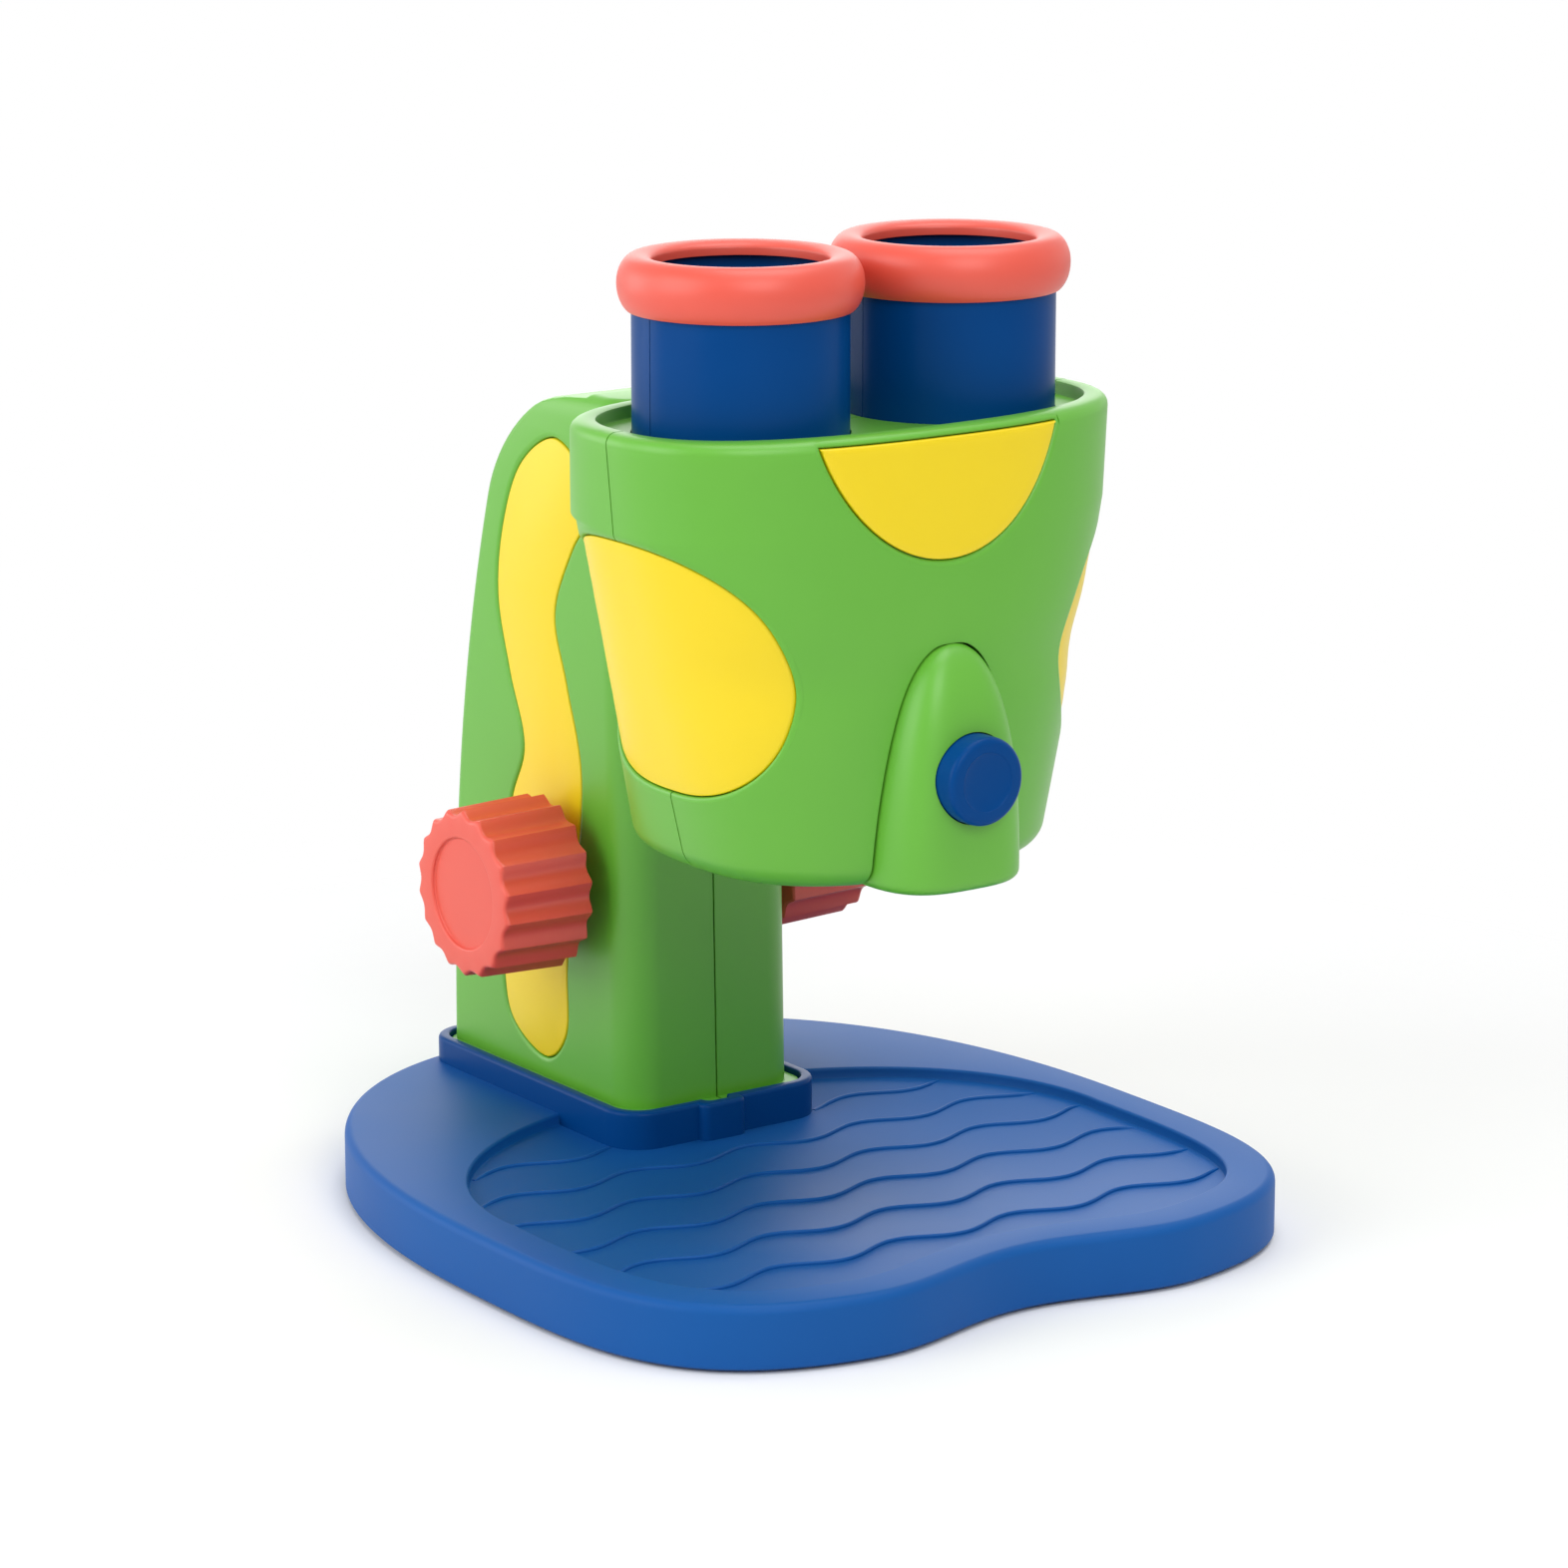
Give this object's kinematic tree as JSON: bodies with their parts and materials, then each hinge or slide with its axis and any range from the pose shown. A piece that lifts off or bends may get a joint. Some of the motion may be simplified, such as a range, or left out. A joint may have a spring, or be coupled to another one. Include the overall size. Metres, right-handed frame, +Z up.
{
  "type": "toy microscope",
  "caption": "Child's toy microscope with twin eyepieces on a lit head, a rack-and-pinion focus column with side knobs, and a broad sunk stage base.",
  "frame": {"origin": "bottom centre of the whole microscope, on the floor under its feet", "axes": "+Z up, -Y to the front where the light button is, +X to the right as seen from behind the button's face looking along +Y"},
  "size_m": [0.2076, 0.2354, 0.254],
  "materials": {
    "base_blue": "satin moulded plastic",
    "shell_green": "satin moulded plastic",
    "panel_yellow": "satin moulded plastic",
    "tube_blue": "half-gloss moulded plastic",
    "coral": "satin moulded plastic",
    "foot_rubber": "matt rubber",
    "nylon": "natural nylon",
    "steel": "zinc-plated steel",
    "lens": "clear polished lens",
    "circuit_board": "solder-masked board",
    "black_plastic": "plain moulded plastic",
    "cell_jacket": "plain printed jacket",
    "led_lens": "clear epoxy"
  },
  "bodies": {
    "stand": {"base_plate": "base_blue", "foot_front_left": "foot_rubber", "foot_front_right": "foot_rubber", "foot_rear_left": "foot_rubber", "foot_rear_right": "foot_rubber", "column_left_shell": "shell_green", "column_right_shell": "shell_green", "column_inlay_left": "panel_yellow", "column_inlay_right": "panel_yellow", "column_screw_1": "steel", "column_screw_2": "steel", "column_screw_3": "steel", "column_screw_4": "steel", "base_screw_1": "steel", "base_screw_2": "steel", "base_screw_3": "steel", "base_screw_4": "steel", "shaft_bush_left": "nylon", "shaft_bush_right": "nylon"},
    "head": {"head_front_shell": "shell_green", "head_rear_shell": "shell_green", "head_front_panel": "panel_yellow", "head_side_panel_left": "panel_yellow", "head_side_panel_right": "panel_yellow", "head_screw_1": "steel", "head_screw_2": "steel", "head_screw_3": "steel", "head_screw_4": "steel", "focus_carriage": "nylon", "carriage_screw_1": "steel", "carriage_screw_2": "steel", "eyepiece_tube_left_front": "tube_blue", "eyepiece_tube_left_rear": "tube_blue", "eyepiece_tube_right_front": "tube_blue", "eyepiece_tube_right_rear": "tube_blue", "eyepiece_lens_left": "lens", "eyepiece_lens_right": "lens", "eyepiece_rim_left": "coral", "eyepiece_rim_right": "coral", "objective_ring": "tube_blue", "objective_lens": "lens", "light_housing": "shell_green", "switch_board": "circuit_board", "push_switch": "black_plastic", "light_chassis": "black_plastic", "battery_contact_upper": "steel", "battery_contact_lower": "steel", "battery_left": "cell_jacket", "battery_right": "cell_jacket", "light_led": "led_lens", "battery_door": "shell_green", "battery_door_screw": "steel"},
    "focus": {"focus_shaft": "steel", "focus_pinion": "nylon", "focus_knob_left": "coral", "focus_knob_right": "coral"},
    "button": {"light_button": "tube_blue"}
  },
  "joints": [
    {"name": "head_slide", "type": "slide", "parent": "stand", "child": "head", "axis": [0, 0, 1], "range_m": [-0.01, 0.012]},
    {"name": "focus_turn", "type": "hinge", "parent": "stand", "child": "focus", "pos_m": [0, 0.052, 0.08], "axis": [1, 0, 0], "range_deg": [-80, 66]},
    {"name": "button_press", "type": "slide", "parent": "head", "child": "button", "axis": [0, 1, 0], "range_m": [0, 0.002], "stiffness_N_per_m": 400, "springref_m": -0.0005}
  ],
  "couplings": [
    {"joint": "focus_turn", "follows": "head_slide", "rad_per_m": -111.11}
  ]
}
